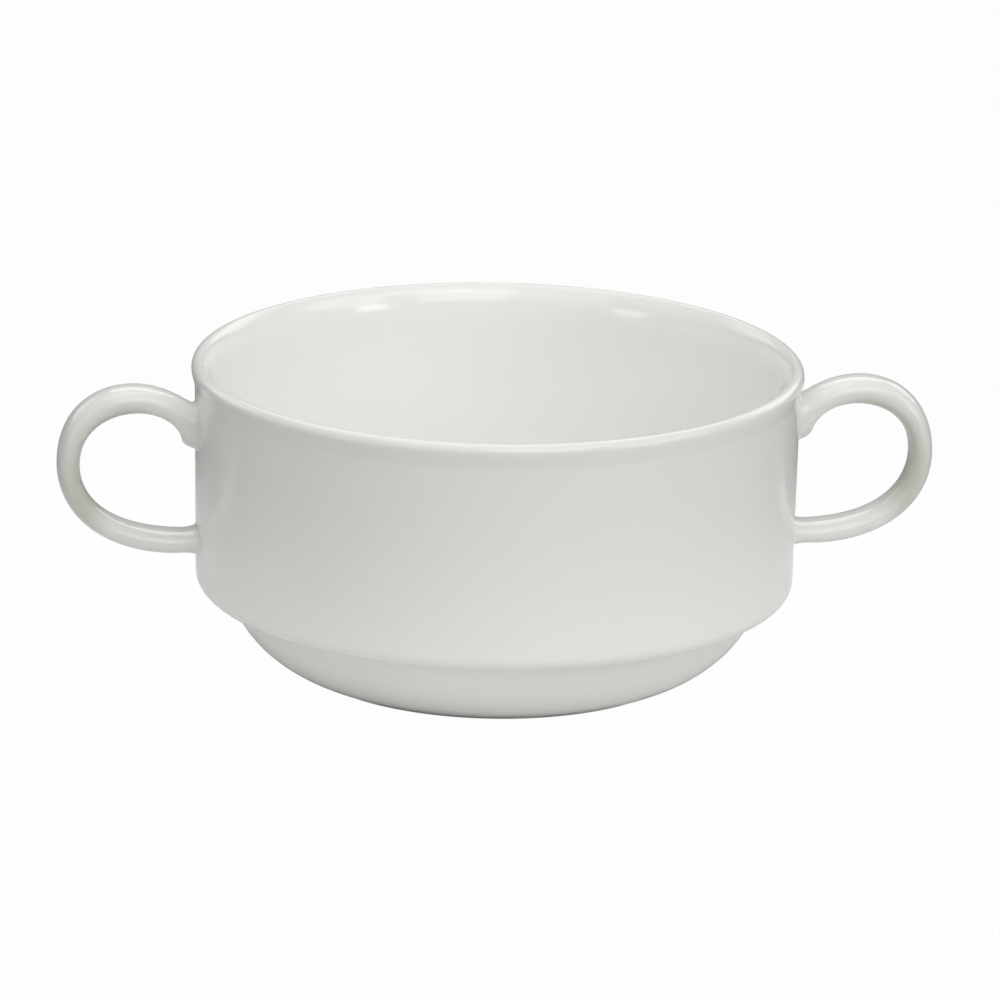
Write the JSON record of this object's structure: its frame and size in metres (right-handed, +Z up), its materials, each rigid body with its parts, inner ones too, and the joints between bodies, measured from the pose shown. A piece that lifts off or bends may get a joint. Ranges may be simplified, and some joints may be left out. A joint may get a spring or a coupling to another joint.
{
  "type": "lug soup bowl",
  "caption": "Round stacking soup bowl in white glazed porcelain with a strap loop handle on each side, a soft rounded lip and a stepped foot section that nests in the lip below.",
  "frame": {"origin": "middle of the circle on which the foot ring stands, at table height", "axes": "+Z up through the bowl's opening, X through both handles, Y across the front and back"},
  "size_m": [0.1512, 0.105, 0.0539],
  "materials": {
    "bowl_glaze": "glossy white glaze, foot ring bare",
    "handle_glaze": "glossy white glaze",
    "joint_glaze": "glossy white glaze over wiped slip"
  },
  "bodies": {
    "root": {"bowl_body": "bowl_glaze", "handle_left": "handle_glaze", "handle_right": "handle_glaze", "slip_joint_left_upper": "joint_glaze", "slip_joint_left_lower": "joint_glaze", "slip_joint_right_upper": "joint_glaze", "slip_joint_right_lower": "joint_glaze"}
  },
  "joints": []
}
